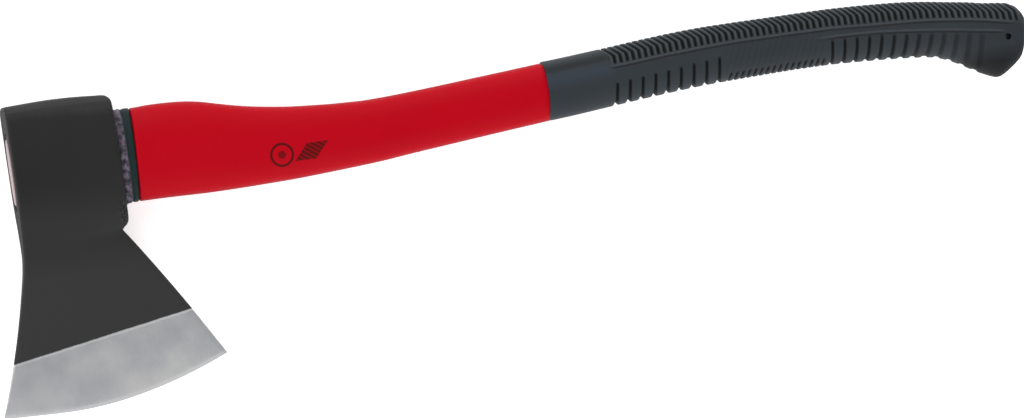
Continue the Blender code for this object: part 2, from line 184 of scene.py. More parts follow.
def smoothed(piece, levels):
    applyModifier(piece, "SUBSURF", levels=levels, render_levels=levels)


def shadeByAngle(piece, degrees):
    bpy.ops.object.select_all(action="DESELECT")
    piece.select_set(True)
    bpy.context.view_layer.objects.active = piece
    bpy.ops.object.shade_smooth_by_angle(angle=math.radians(degrees))


def cutAway(piece, cutter):
    applyModifier(piece, "BOOLEAN", object=cutter, operation="DIFFERENCE", solver="EXACT")
    bpy.data.objects.remove(cutter)


def finishPiece(piece, material, slot, *nodes):
    piece.data.materials.clear()
    piece.data.materials.append(material)
    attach(piece, "root")
    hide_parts(*nodes)
    print("made", piece.name, len(piece.data.polygons), "faces")


class Wire:
    # one socket of a material; sums on it add Math nodes
    def __init__(self, tree, end=None):
        self.tree = tree
        self.end = end

    def node(self, kind, settings=None, inputs=None, output=0):
        made = self.tree.nodes.new("ShaderNode" + kind)
        for name, value in (settings or {}).items():
            if name == "stops":
                while len(made.color_ramp.elements) < len(value):
                    made.color_ramp.elements.new(0.5)
                for element, (position, colour) in zip(made.color_ramp.elements, value):
                    element.position = position
                    element.color = (*colour, 1.0)
            else:
                setattr(made, name, value)
        for name, value in (inputs or {}).items():
            if isinstance(value, Wire):
                self.tree.links.new(value.end, made.inputs[name])
            else:
                made.inputs[name].default_value = value
        return Wire(self.tree, made.outputs[output])

    def maths(self, operation, *values, clamp=False):
        settings = {"operation": operation, "use_clamp": clamp}
        return self.node("Math", settings, dict(enumerate(values)))

    def __add__(self, other):
        return self.maths("ADD", self, other)

    def __sub__(self, other):
        return self.maths("SUBTRACT", self, other)

    def __rsub__(self, other):
        return self.maths("SUBTRACT", other, self)

    def __mul__(self, other):
        return self.maths("MULTIPLY", self, other)

    def __truediv__(self, other):
        return self.maths("DIVIDE", self, other)

    __radd__ = __add__
    __rmul__ = __mul__

    def clamped(self):
        return self.maths("ADD", self, 0.0, clamp=True)

    def absolute(self):
        return self.maths("ABSOLUTE", self)

    def most(self, other):
        return self.maths("MAXIMUM", self, other)

    def under(self, limit, softness):
        # 1 where this is below the limit, 0 above it
        return ((limit - self) / softness + 0.5).clamped()

    def mix(self, first, second):
        # colours, by this as the mask
        settings = {"data_type": "RGBA"}
        inputs = {"Factor": self}
        inputs[6] = first if isinstance(first, Wire) else (*first, 1.0)
        inputs[7] = second if isinstance(second, Wire) else (*second, 1.0)
        return self.node("Mix", settings, inputs, output=2)

    def between(self, first, second):
        # numbers, by this as the mask
        return self * second + (1 - self) * first


def newMaterial(name):
    material = bpy.data.materials.new(name)
    material.use_nodes = True
    tree = material.node_tree
    tree.nodes.remove(tree.nodes["Principled BSDF"])
    return material, Wire(tree)


def finishMaterial(wire, **inputs):
    sockets = {name.replace("_", " "): value for name, value in inputs.items()}
    shader = wire.node("BsdfPrincipled", {}, sockets)
    output = wire.tree.nodes["Material Output"]
    wire.tree.links.new(shader.end, output.inputs["Surface"])


def objectPlace(wire):
    place = wire.node("TexCoord", output=3)
    parts = [wire.node("SeparateXYZ", {}, {0: place}, output=k) for k in range(3)]
    return place, *parts


def noise(wire, place, scale, detail=2.0, stretch=None, roughness=0.5):
    if stretch:
        place = wire.node("Mapping", {}, {"Vector": place, "Scale": stretch})
    inputs = {"Vector": place, "Scale": scale, "Detail": detail, "Roughness": roughness}
    return wire.node("TexNoise", {}, inputs)


def bump(wire, height, distance, strength=1.0):
    return wire.node("Bump", {}, {"Height": height, "Distance": distance, "Strength": strength})


shot = {
    "target": (253.9 * mm, -63.4 * mm, midPlane),
    "distance": 9.6,
    "seesTo": 300,
    "width": 0.5935,  # what the picture is across, at the target
    "tilt": 7.5,  # degrees towards the head, so its far side shows
    "roll": 8.5,  # the handle rises to the right
}
tilt = math.radians(shot["tilt"])
away = (-math.sin(tilt) * shot["distance"], 0, math.cos(tilt) * shot["distance"])
cameraAt = [a + b for a, b in zip(shot["target"], away)]
bpy.ops.object.camera_add(location=cameraAt)
camera = bpy.context.object
camera.rotation_mode = "ZYX"
camera.rotation_euler = (0, -tilt, -math.radians(shot["roll"]))
camera.data.lens = camera.data.sensor_width * shot["distance"] / shot["width"]
camera.data.clip_end = shot["seesTo"]
bpy.context.scene.camera = camera
bpy.context.scene.view_settings.view_transform = "Standard"

studio = {
    "floor": 240,
    "floorColour": (0.93, 0.93, 0.93),
    "floorGlow": 0.6,
    "zenith": 0.20,
    "horizon": 1.05,
    "lampsAt": (0, 0, 2),
    "key": {"strength": 1.45, "spread": 60, "turn": (-50, -12)},
    "fill": {"strength": 1.35, "spread": 70, "turn": (50, -16)},
}
bpy.ops.object.select_all(action="DESELECT")
bpy.ops.mesh.primitive_plane_add(size=studio["floor"])
floor = bpy.context.object
floor.name = "studio_floor"
floorMaterial, wire = newMaterial("studioFloor")
finishMaterial(
    wire,
    Base_Color=(*studio["floorColour"], 1),
    Roughness=0.9,
    Specular_IOR_Level=0.1,
    Emission_Color=(1, 1, 1, 1),
    Emission_Strength=studio["floorGlow"],
)
floor.data.materials.append(floorMaterial)

world = bpy.data.worlds.new("softStudio")
bpy.context.scene.world = world
world.use_nodes = True
wire = Wire(world.node_tree)
height = wire.node("SeparateXYZ", {}, {0: wire.node("TexCoord", output=0)}, output=2)
sky = height.clamped().mix([studio["horizon"]] * 3, [studio["zenith"]] * 3)
background = world.node_tree.nodes["Background"]
world.node_tree.links.new(sky.end, background.inputs["Color"])
for name in ("key", "fill"):
    turnX, turnY = [math.radians(turn) for turn in studio[name]["turn"]]
    bpy.ops.object.light_add(type="SUN", location=studio["lampsAt"], rotation=(turnX, turnY, 0))
    lamp = bpy.context.object
    lamp.name = name + "_light"
    lamp.data.energy = studio[name]["strength"]
    lamp.data.angle = math.radians(studio[name]["spread"])
print("stage ready")


head = {  # in mm
    "rounding": 1.6,
    "thinRounding": 0.85,  # the most the rounding takes of a thin blade's half thickness
    "flatSide": 0.93,  # the share of a narrow side that stays flat
    "toeFlatness": 0.45,  # the edge and the poll curve less towards the toe
    "across": 40,
    "steps": {"bevel": 0.6, "cheek": 2.0, "blade": 2.5, "ground": 1.2},  # between rows of points
    "rows": (  # toe side x and y, handle side x and y, sag, half thickness, belly
        (-29.9, 38.0, 24.2, 36.9, -1.0, 10.6, 0.0),
        (-30.6, 37.75, 25.9, 36.7, -1.0, 11.9, 0.0),
        (-31.1, 37.15, 27.8, 36.1, -0.9, 13.3, 0.0),
        (-31.4, 36.1, 29.4, 34.8, -0.8, 14.5, 0.0),
        (-31.55, 34.7, 30.4, 33.1, -0.8, 15.5, 0.0),
        (-31.6, 33.7, 30.7, 31.9, -0.7, 15.75, 0.0),
        (-31.6, 26.0, 31.0, 25.0, -0.3, 16.35, 0.0),
        (-31.6, 14.0, 31.0, 14.0, 0, 16.9, 0.0),
        (-31.6, 2.0, 31.0, 2.0, 0, 17.0, 0.0),
        (-31.6, -9.0, 31.0, -9.0, 0, 16.9, 0.0),
        (-31.6, -17.2, 31.0, -17.2, 0, 16.3, 0.01),
        (-31.6, -25.4, 31.05, -25.4, 0, 14.8, 0.02),
        (-31.6, -33.8, 31.2, -33.8, 0, 12.4, 0.03),
        (-31.65, -37.6, 31.1, -36.6, 0, 11.1, 0.035),
        (-31.7, -41.9, 30.1, -39.1, 0, 9.95, 0.04),
        (-31.8, -46.2, 28.3, -40.6, 0, 8.95, 0.04),
        (-31.95, -50.0, 27.2, -42.0, 0, 8.3, 0.045),
    ),
    "waist": (-31.5, -50.0),
    "notch": (26.9, -41.3),
    "toe": (-56.76, -140.23),
    "heel": (77.6, -121.1),
    "toeBow": 0.34,
    "heelBow": -0.10,
    "sag": 9.2,
    "blade": (  # share of the flare, thickness, belly, share of the sag
        (0.084, 14.4, 0.058, 0),
        (0.21, 12.4, 0.085, 0),
        (0.377, 10.4, 0.12, 0),
        (0.52, 9.04, 0.15, 0),
        (0.65, 8.2, 0.18, 0),
    ),
    "ground": (
        (0.65, 8.2, 0.18, 0),
        (0.755, 6.45, 0.14, 0.30),
        (0.867, 4.2, 0.10, 0.62),
        (0.94, 2.35, 0.05, 0.83),
        (0.978, 1.3, 0.02, 0.94),
        (1.0, 0.22, 0.0, 1.0),
    ),
    "eye": {
        "height": 52.0, "width": 24.0, "power": 2.3,
        "taper": 0.86, "taperFrom": 32.25, "taperOver": 64.5,  # it narrows from the handle's side
        "mouths": (-31.6, 31.0), "chamfer": 0.7,
        "past": 1.7, "flare": 2.3,  # how far the cutter stands out of both mouths, and how much wider
    },
    "bit": {
        "lineThrough": (-46.6, -110.0), "lineSlope": (-0.1592, 0.9872),  # where grinding starts
        "toe": (-56.76, -140.23), "span": 134.4, "rise": 19.1, "sag": 9.2,  # the cutting edge
        "brushTurn": -9.2,
    },
    "paint": {
        "base": ((0.0070, 0.0072, 0.0072), (0.0105, 0.0107, 0.0107)),
        "cheek": ((0.0050, 0.0052, 0.0052), (0.0096, 0.0098, 0.0098)),  # toe side, handle side: painted shade over the eye, darker towards the toe side
        # painted light: the paint made lighter down the blade
        "blade": (0.0225, 0.0227, 0.0227),
        # painted sheen: lighter where the cheek turns up into the poll's bevel
        "underBevel": (0.0240, 0.0242, 0.0242),
        # painted reflection: the toe side's face lighter, as seen at a grazing angle
        "castSide": (0.0270, 0.0272, 0.0272),
        # painted reflection along the poll's bevel
        "bevel": (0.0180, 0.0182, 0.0182),
        # painted highlight along the bevel's lower edge
        "bevelLine": (0.0300, 0.0303, 0.0303),
        "pits": (
            (0.40, (0.002, 0.002, 0.002)), (0.5, (0.009, 0.009, 0.010)),
            (0.62, (0.042, 0.043, 0.044)),
        ),
    },
    "paintAt": {  # where the paint changes, and where painted light and shade lie
        "bevel": 34.4, "bevelLine": 34.3, "underBevel": 26.8, "cheek": -3, "blade": -38,
        "lug": (30.5, -31.0), "lugReach": 6.0,
        "toeSide": -31.6, "flareFrom": -50, "flareOver": 90.2, "flareReach": 25.2, "flareBow": 0.34,
    },
    "steel": {
        "ground": (
            (0.34, (0.475, 0.48, 0.50)), (0.5, (0.535, 0.54, 0.555)), (0.66, (0.60, 0.60, 0.60)),
        ),
        "honed": (0.66, 0.66, 0.665),
        "burr": (0.78, 0.78, 0.78),
        # painted shade: the ground steel darker towards the toe
        "toe": (0.36, 0.365, 0.385),
    },
}


def bowed(start, end, share, bow):
    # a point between two corners, along a side that bows
    x = start[0] + (end[0] - start[0]) * (share - bow * share * (1 - share))
    return x, start[1] + (end[1] - start[1]) * share


def flareRow(share, thickness, belly, sag):
    left = bowed(head["waist"], head["toe"], share, head["toeBow"])
    right = bowed(head["notch"], head["heel"], share, head["heelBow"])
    return (*left, *right, sag * head["sag"], thickness / 2, belly)


def finer(rows, step):
    # more rows between the given ones, on smooth curves
    at = [0.0]
    for a, b in zip(rows, rows[1:]):
        outline, thickness = math.dist(a[:4], b[:4]) / 2, abs(a[5] - b[5])
        at.append(at[-1] + max(0.5, outline, thickness))
    places = spread(0, at[-1], max(2, round(at[-1] / step)))
    columns = [[(at[i], row[c]) for i, row in enumerate(rows)] for c in range(7)]
    return [tuple(through(column, place) for column in columns) for place in places]


def headRing(leftX, leftY, rightX, rightY, sag, half, belly):
    # round the head at one height: toe side, upper cheek, handle side, lower cheek
    rounding = min(head["rounding"], head["thinRounding"] * half)
    side = half * (1 - belly) - rounding
    corner = []  # how far in from the side, how far up
    for turn in (0, 22.5, 45, 67.5, 90):
        angle = math.radians(turn)
        corner.append((rounding * (1 - math.cos(angle)), side + rounding * math.sin(angle)))
    upper = [(leftX, leftY, head["flatSide"] * side)]
    upper += [(leftX + inset, leftY, z) for inset, z in corner]
    for s in spread(0, 1, head["across"])[1:-1]:
        x = leftX + rounding + (rightX - leftX - 2 * rounding) * s
        flatter = 1 - head["toeFlatness"] * max(0, 1 - 2 * s) ** 2
        y = leftY + (rightY - leftY) * s - 4 * sag * s * (1 - s) * flatter
        upper.append((x, y, half * (1 - belly * (2 * s - 1) ** 2)))
    upper += [(rightX - inset, rightY, z) for inset, z in reversed(corner)]
    upper.append((rightX, rightY, head["flatSide"] * side))
    ring = upper + [(x, y, -z) for x, y, z in reversed(upper)]
    return [(x * mm, y * mm, midPlane + z * mm) for x, y, z in ring]


steps = head["steps"]
bevelRows, cheekRows = head["rows"][:6], head["rows"][5:]
rows = finer(bevelRows, steps["bevel"]) + finer(cheekRows, steps["cheek"])[1:]
rows += finer([rows[-1], *[flareRow(*row) for row in head["blade"]]], steps["blade"])[1:]
rows += finer([flareRow(*row) for row in head["ground"]], steps["ground"])[1:]
axeHead = loft("axeHead", [headRing(*row) for row in rows])
eye = head["eye"]


def eyeRing(x, grow, points=96):
    scale = 1 + (eye["taper"] - 1) * (eye["taperFrom"] - x) / eye["taperOver"]
    top, bottom = eye["height"] / 2 * scale + grow, -eye["height"] / 2 * scale - grow
    half = eye["width"] / 2 * scale + grow
    return oval((x * mm, top * mm), (x * mm, bottom * mm), half * mm, points, eye["power"])


chamfer, past = eye["chamfer"], eye["past"]
toeMouth, handleMouth = eye["mouths"]
cutter = loft("eyeCutter", [
    eyeRing(toeMouth - past, eye["flare"]),
    eyeRing(toeMouth + chamfer, 0),
    eyeRing(handleMouth - chamfer, 0),
    eyeRing(handleMouth + past, eye["flare"]),
])
cutAway(axeHead, cutter)
shadeByAngle(axeHead, 24)

paintTones, steelTones, bit, at = head["paint"], head["steel"], head["bit"], head["paintAt"]
headMaterial, wire = newMaterial("blackPaintAndGroundSteel")
place, x, y, _ = objectPlace(wire)
x, y = x / mm, y / mm
(lineX, lineY), (slopeX, slopeY) = bit["lineThrough"], bit["lineSlope"]
across = (x - lineX) * slopeX + (y - lineY) * slopeY  # above the line where grinding starts
edgeNoise = noise(wire, place, 320, 3)
steel = (across + (edgeNoise - 0.5) * 0.7).under(0.0, 0.35)
sheen = noise(wire, place, 55, 3)
peel = noise(wire, place, 1900, 2)
forged = noise(wire, place, 90, 4)
cloud = noise(wire, place, 42, 4, roughness=0.6)
turn = (0, 0, math.radians(bit["brushTurn"]))
turned = wire.node("Mapping", {}, {"Vector": place, "Rotation": turn})
brushed = noise(wire, turned, 900, 3, stretch=(1.0, 0.06, 0.3))
scuffs = noise(wire, turned, 240, 2, stretch=(1.0, 0.12, 0.5))
share = ((at["flareFrom"] - y) / at["flareOver"]).most(0)  # down the flare, 0 at the waist
flare = share * (1 - at["flareBow"] + at["flareBow"] * share)
toeSide = at["toeSide"] - at["flareReach"] * flare  # where the toe side's face is
# the toe side's end face: painted reflection in its colour, and a rougher finish
toeEndFace = (x - toeSide).under(0.9, 0.7)
bevel = (at["bevel"] - y + (sheen - 0.5) * 1.6).under(0.0, 0.9)  # painted reflection: a lighter band along the top of the poll
# painted highlight: a thin bright line at the bevel's lower edge
bevelLine = (y - at["bevelLine"] + (sheen - 0.5) * 1.4).absolute().under(0.35, 0.4)
uneven = x * 0.08 + (cloud - 0.5) * 5 + (brushed - 0.5) * 2.5
# painted sheen, broken into streaks, where the cheek turns up into the bevel
underBevel = ((y - at["underBevel"] + uneven) / 5.5).clamped()
lugX, lugY = x - at["lug"][0], y - at["lug"][1]
fromLug = wire.maths("SQRT", lugX * lugX * 1.6 + lugY * lugY * 0.55)
pits = noise(wire, place, 800, 3, roughness=0.7)
rough = (fromLug + (forged - 0.5) * 7).under(at["lugReach"], 2.2)  # cast skin left rough on the lug
# painted shade: the cheek is darkened around the eye's middle height
cheek = (y - at["cheek"]).absolute().under(14, 22)
# painted light: lighter down the blade, where its face tilts to catch more light
blade = ((at["blade"] - y) / 26).clamped()
paint = sheen.mix(*paintTones["base"])
paint = (cheek * 0.75).mix(paint, ((x + 30) / 60).clamped().mix(*paintTones["cheek"]))
for mask, strength, name in (
    (blade, 1, "blade"), (underBevel, 0.9, "underBevel"), (toeEndFace, 0.7, "castSide"),
    (bevel, 0.85, "bevel"), (bevelLine, 0.6, "bevelLine"),
):
    paint = (mask * strength).mix(paint, paintTones[name])
paint = rough.mix(paint, wire.node("ValToRGB", {"stops": paintTones["pits"]}, {0: pits}))
steelTone = wire.node("ValToRGB", {"stops": steelTones["ground"]}, {0: cloud * 0.9 + brushed * 0.1})
along = (x - bit["toe"][0]) / bit["span"]  # from toe to heel
fromEdge = y - bit["toe"][1] - bit["rise"] * along + 4 * bit["sag"] * along * (1 - along)
honed = (fromEdge + (scuffs - 0.5) * 0.8).under(2.3, 0.8)
burr = (across + 0.9 + (edgeNoise - 0.5) * 0.7).absolute().under(0.45, 0.4)
# painted shade: the ground steel darker towards the toe
steelToeShade = 0.30 * (1 - ((x + 50) / 110).clamped())
steelTone = (honed * 0.7).mix(steelTone, steelTones["honed"])
steelTone = (burr * 0.6).mix(steelTone, steelTones["burr"])
steelTone = steelToeShade.mix(steelTone, steelTones["toe"])
paintRough = toeEndFace.between(0.50 + sheen * 0.14, 0.9)
paintHeight = peel * 0.18 + forged * 0.5 + rough * pits * 14
steelHeight = brushed * 0.08 + scuffs * 0.05 + cloud * 0.3
finishMaterial(
    wire,
    Base_Color=steel.mix(paint, steelTone),
    Metallic=steel,
    Roughness=steel.between(paintRough, 0.42 + cloud * 0.14 + scuffs * 0.06),
    Normal=bump(wire, steel.between(paintHeight, steelHeight), 0.09 * mm),
    Specular_IOR_Level=0.33,
)
finishPiece(axeHead, headMaterial, "black_paint", "axe_head")


core = {  # the sawn end that shows in the eye, in mm
    "height": 38.4, "width": 12.8, "power": 2.4, "points": 64,
    "rings": ((-31.95, -2.2), (-31.95, -0.9), (-31.85, -0.25), (-31.6, 0), (-30.0, 0)),  # x, growth
    "tones": ((0.37, 0.27, 0.29), (0.50, 0.40, 0.41)),
}
coreRings = []
for x, grow in core["rings"]:
    up, half = core["height"] / 2 + grow, core["width"] / 2 + grow
    top, bottom = (x * mm, up * mm), (x * mm, -up * mm)
    coreRings.append(oval(top, bottom, half * mm, core["points"], core["power"]))
handleCore = loft("handleCore", coreRings)
shadeByAngle(handleCore, 40)
coreMaterial, wire = newMaterial("sawnFibreglass")
place = wire.node("TexCoord", output=3)
strands = noise(wire, place, 2600, 2, stretch=(0.1, 1, 1))
clots = noise(wire, place, 420, 3)
finishMaterial(
    wire,
    Base_Color=(strands * 0.6 + clots * 0.4).clamped().mix(*core["tones"]),
    Roughness=0.55 + strands * 0.25,
    Normal=bump(wire, strands, 0.1 * mm),
)
finishPiece(handleCore, coreMaterial, "fibreglass", "handle_core")

resin = {
    "rings": (  # x, growth from the eye's wall: the wavy outer face, then the hidden sleeve
        (-30.9, -0.05), (-30.95, -0.4), (-30.75, -0.9), (-30.8, -1.5), (-31.1, -2.3), (-31.3, -3.1),
        (-31.3, -4.2), (-30.2, -4.2), (-29.8, -2.75), (26, -2.4), (26, -0.05),
    ),
    "tones": ((0.020, 0.0025, 0.0040), (0.050, 0.0050, 0.0085)),
}
eyeResin = loft("eyeResin", [eyeRing(*row) for row in resin["rings"]], caps=None)
shadeByAngle(eyeResin, 50)
resinMaterial, wire = newMaterial("castResin")
place = wire.node("TexCoord", output=3)
bubbles = noise(wire, place, 700, 3)
finishMaterial(
    wire,
    Base_Color=bubbles.mix(*resin["tones"]),
    Roughness=0.35 + bubbles * 0.3,
    Normal=bump(wire, bubbles, 0.3 * mm),
    Specular_IOR_Level=0.25,
)
finishPiece(eyeResin, resinMaterial, "cast_resin", "eye_resin")

collar = {  # a bead of glue against the head, then the rubber band
    "height": 56.0, "width": 28.0, "points": 120,
    "rings": (  # x, how far in from the flange's outline, how lumpy
        (31.1, 2.4, 0.0), (31.2, 1.1, 0.6), (31.8, 0.42, 1.0), (32.8, 0.18, 1.0), (33.8, 0.28, 1.0),
        (34.8, 0.45, 1.0), (35.6, 0.75, 0.8), (36.1, 1.15, 0.4), (36.4, 1.1, 0.1), (36.9, 0.9, 0.0),
        (37.6, 0.75, 0.0), (38.6, 0.7, 0.0), (39.4, 0.75, 0.0), (40.0, 0.95, 0.0), (40.3, 1.35, 0.0),
        (40.4, 2.0, 0.0),
    ),
    "lump": 0.6, "lumpRadius": 16,
    "lean": 0.03, "leanFrom": 35, "leanOver": 5,  # the band's free end leans back at the belly
    "beadTo": 35.7,
    "rubber": ((0.0030, 0.0155, 0.0150), (0.0075, 0.0240, 0.0230)),
    "glue": (
        (0.36, (0.022, 0.022, 0.028)), (0.46, (0.080, 0.064, 0.088)), (0.56, (0.165, 0.140, 0.186)),
    ),
}


def leaned(x, y):
    hold = min(1, max(0, (x / mm - collar["leanFrom"]) / collar["leanOver"]))
    return x + collar["lean"] * y * hold


collarRings = []
for x, inset, lumpy in collar["rings"]:
    ring = []
    up, half = collar["height"] / 2 - inset, collar["width"] / 2 - inset
    plain = oval((x * mm, up * mm), (x * mm, -up * mm), half * mm, collar["points"], eye["power"])
    for k, (px, py, pz) in enumerate(plain):
        turn = 2 * math.pi * k / len(plain)
        wave = math.sin(7 * turn + x) + 0.8 * math.sin(13 * turn - 1.7 * x)
        wave += 0.6 * math.sin(23 * turn + 2.3 * x)  # three waves out of step, so no lump repeats
        pull = 1 - lumpy * collar["lump"] * (1.2 + wave) / 2 / collar["lumpRadius"]
        ring.append((leaned(px, py), py * (1 + pull) / 2, midPlane + (pz - midPlane) * pull))
    collarRings.append(ring)
eyeCollar = loft("eyeCollar", collarRings)
shadeByAngle(eyeCollar, 50)
collarMaterial, wire = newMaterial("collarRubber")
place, x, _, _ = objectPlace(wire)
glue = noise(wire, place, 250, 3, roughness=0.6)
speckle = noise(wire, place, 2400, 2)
bead = (x / mm + (glue - 0.5) * 3.4).under(collar["beadTo"], 0.9)
rubberTone = speckle.mix(*collar["rubber"])
glueTone = wire.node("ValToRGB", {"stops": collar["glue"]}, {0: glue})
finishMaterial(
    wire,
    Base_Color=bead.mix(rubberTone, glueTone),
    Roughness=bead.between(0.5 + speckle * 0.15, 0.38 + glue * 0.3),
    Normal=bump(wire, bead.between(speckle * 0.15, glue), 0.5 * mm),
    Specular_IOR_Level=0.2,
)
finishPiece(eyeCollar, collarMaterial, "collar_rubber", "eye_collar")


jacket = {
    "start": 40.7 * mm,
    "stations": 26,
    "rings": 100,
    "points": 64,
    "power": 2.7,
    "shoulder": (  # how far along, how far in, in mm
        (0.0, 1.35), (0.03, 0.85), (0.22, 0.42), (0.6, 0.15), (1.2, 0.02), (2.0, 0), (3.2, 0),
    ),
    "leanTo": 44, "leanDies": 12,  # the collar's lean dies out along the handle
    "mark": {"at": (124.4, -12.8), "turn": 8.5, "radius": 6.3, "line": 0.7, "dot": 2.3},
    "lozenge": {"at": (141.8, -12.9), "turn": 24, "half": (11.5, 5.2), "hatch": 2.4},
    "red": ((0.455, 0.0004, 0.0100), (0.495, 0.0004, 0.0075)),
    # painted shade along the back and belly
    "ridge": (0.270, 0.0003, 0.0080),
    "ink": ((0.016, 0.004, 0.003), (0.038, 0.006, 0.004)),
}
tongue = {  # its outline where it lies in the eye
    "front": outlineOf("handle_jacket", -30.4 * mm),
    "back": outlineOf("handle_jacket", 26 * mm),
}
jacketRings = []
for x, (back, belly, side), inset in (
    (-29.4, tongue["front"], 1.2), (-29.4, tongue["front"], 0.3), (-29.1, tongue["front"], 0),
    (26, tongue["back"], 0), (40.65, tongue["back"], 0),
):
    top, bottom = (x * mm, back - inset * mm), (x * mm, belly + inset * mm)
    jacketRings.append(oval(top, bottom, side - inset * mm, jacket["points"], eye["power"]))
firstX = jacket["start"]
shaftRows = []
for x in spread(firstX + 2.5 * mm, gripFront - 2.0 * mm, jacket["stations"]):
    shaftRows.append((x, *outlineOf("handle_jacket", x)))
backRows, bellyRows, sideRows = [[(row[0], row[c]) for row in shaftRows] for c in (1, 2, 3)]
shaftPlaces = [(firstX + a * mm, inset * mm) for a, inset in jacket["shoulder"]]
shaftPlaces += [(x, 0) for x in spread(firstX + 4.8 * mm, gripFront - 2.4 * mm, jacket["rings"])]
shaftPlaces.append((gripFront - 1.2 * mm, 0.5 * mm))  # from here on it hides in the grip
shaftPlaces.append((gripFront + 4 * mm, 1.5 * mm))
for x, inset in shaftPlaces:
    back, belly, side = through(backRows, x), through(bellyRows, x), through(sideRows, x)
    top, bottom = (x, back - inset), (x, belly + inset)
    ring = oval(top, bottom, side - inset, jacket["points"], jacket["power"])
    hold = 1 - min(1, max(0, (x / mm - jacket["leanTo"]) / jacket["leanDies"]))
    jacketRings.append([(px + collar["lean"] * py * hold, py, pz) for px, py, pz in ring])
handleJacket = loft("handleJacket", jacketRings)
shadeByAngle(handleJacket, 35)


def rotated(across, up, at, degrees):
    c, s = math.cos(math.radians(degrees)), math.sin(math.radians(degrees))
    return (across - at[0]) * c + (up - at[1]) * s, (up - at[1]) * c - (across - at[0]) * s


jacketMaterial, wire = newMaterial("redPlastic")
place, x, y, z = objectPlace(wire)
x, y, z = x / mm, y / mm, z / mm
middle = midPlane / mm
mark, lozenge = jacket["mark"], jacket["lozenge"]
worn = noise(wire, place, 900, 3)
u, v = rotated(x, y, mark["at"], mark["turn"])
radius = wire.maths("SQRT", u * u + v * v)
ring = (radius - mark["radius"]).absolute().under(mark["line"], 0.35)
dot = radius.under(mark["dot"], 0.3)
u, v = rotated(x, y, lozenge["at"], lozenge["turn"])
inside = (u.absolute() / lozenge["half"][0] + v.absolute() / lozenge["half"][1]).under(1.0, 0.05)
hatch = wire.maths("SINE", (u + v * 0.6) * lozenge["hatch"])
hatched = inside * (0.62 + 0.38 * hatch.under(0.2, 0.8))
ink = ring.most(dot * 0.8).most(hatched) * (0.86 + 0.14 * worn) * (middle - z).under(0.0, 0.5)
tone = noise(wire, place, 28, 3)
grain = noise(wire, place, 1500, 3)
ridgeShade = (z - middle).absolute().under(5.0, 5.0)  # painted shade, darker along the back and belly where the handle turns away
red = (ridgeShade * 0.75).mix(tone.mix(*jacket["red"]), jacket["ridge"])
finishMaterial(
    wire,
    Base_Color=(ink * 0.9).mix(red, worn.mix(*jacket["ink"])),
    Roughness=0.42 + tone * 0.08 + grain * 0.06,
    Normal=bump(wire, grain * 0.2 + tone * 0.6, 0.08 * mm),
    Specular_IOR_Level=0.07,
)
finishPiece(handleJacket, jacketMaterial, "red_plastic", "handle_jacket")


grip = {  # in mm
    "points": 32,
    "power": 2.7,
    "stations": (  # where its outline is taken
        286.4, 302, 319, 335, 350, 366, 382, 398, 414, 430, 447, 463, 479, 495, 511, 521.2, 529.7,
        537, 543, 548, 554.5,
    ),
    "rings": 55,
    "frontReach": 1.2, "frontBow": 1.5, "frontLean": 0.013,  # the front edge bows on back and belly
    "lip": (  # how far along, how far in
        (0.9, 3.2), (0.2, 2.2), (0.0, 0.9), (0.12, 0.35), (0.55, 0.05), (1.4, 0), (3.0, 0), (5.5, 0),
    ),
    "ribPitch": 3.7, "ribDepth": 1.0, "ribsFrom": 320.0, "ribsTo": (562.5, 567.0),
    "borderWidth": 1.5, "borderHeight": 0.4,
    "upperSpan": ((318, 326), (556, 563)), "lowerSpan": ((440, 452), (545, 556)),  # where they fade
    "upperTone": ((320, 6), (558, 5)), "lowerTone": ((442, 12), (552, 6)),  # their light and shade
    "sleeveTo": 322, "knobFrom": 520, "heelFrom": (515, -11),
    "slotGroupsMeet": 400,
    "upperBorder": (
        (300, 9.0), (329, 10.2), (359, 12.2), (399, 13.7), (449, 13.2), (473, 11.8), (503, 10.0),
        (532, 6.5), (549, 3.4), (561, 0.7),
    ),
    "lowerBorder": (
        (430, 8.4), (449, 8.3), (473, 7.5), (495, 5.5), (517, 2.8), (538, -0.5), (551, -2.7),
        (560, -4.0),
    ),
    "frontSlots": [  # x, top, lean, width, depth
        (323.6 + 7.64 * k, -0.3 + 0.75 * k, 1.6, 1.7, 1.2) for k in range(9)
    ],
    "rearSlots": [  # their tops follow the lower border
        (451.6 + 7.13 * k, None, 1.9 + 0.48 * k, 1.4 + 0.2 * k, 1.2 - 0.045 * k) for k in range(13)
    ],
    "notches": (389.5, 448.0), "notchDepth": 0.85, "notchLean": 0.45,
    "hole": {"at": (554.65, -6.8), "width": 3.6, "points": 40, "depth": 60},
    "knob": (  # back point, belly point, share of the thickness
        ((543.0, 14.9), (541.0, -27.0), 1.0), ((547.5, 14.3), (544.2, -28.6), 1.0),
        ((551.5, 13.9), (546.8, -29.3), 1.0), ((555.5, 13.3), (549.2, -29.0), 0.99),
        ((559.4, 12.5), (552.4, -27.2), 0.985), ((562.8, 10.4), (556.0, -24.8), 0.97),
        ((565.4, 7.2), (559.4, -22.2), 0.94), ((566.9, 3.8), (561.8, -19.9), 0.88),
        ((567.5, 1.2), (562.5, -18.2), 0.78), ((567.4, -1.2), (563.2, -16.0), 0.64),
        ((566.9, -4.4), (564.4, -12.4), 0.38),
    ),
    "tones": {
        "base": ((0.0185, 0.0250, 0.0310), (0.0235, 0.0310, 0.0385)),
        "sheenBand": (0.030, 0.041, 0.060),
        "shadeLine": (0.0055, 0.0085, 0.0115),
        "knob": (0.0095, 0.0125, 0.0165),
        "heel": (0.0030, 0.0045, 0.0060),
        # painted highlight on rib crests and border lines, then painted shade in the grooves
        "crest": (0.052, 0.064, 0.076),
        "deep": (0.0012, 0.0020, 0.0024),
    },
}
gripRows = []
for x in grip["stations"]:
    gripRows.append((x * mm, *outlineOf("rubber_grip", x * mm, 1.8 * mm)))
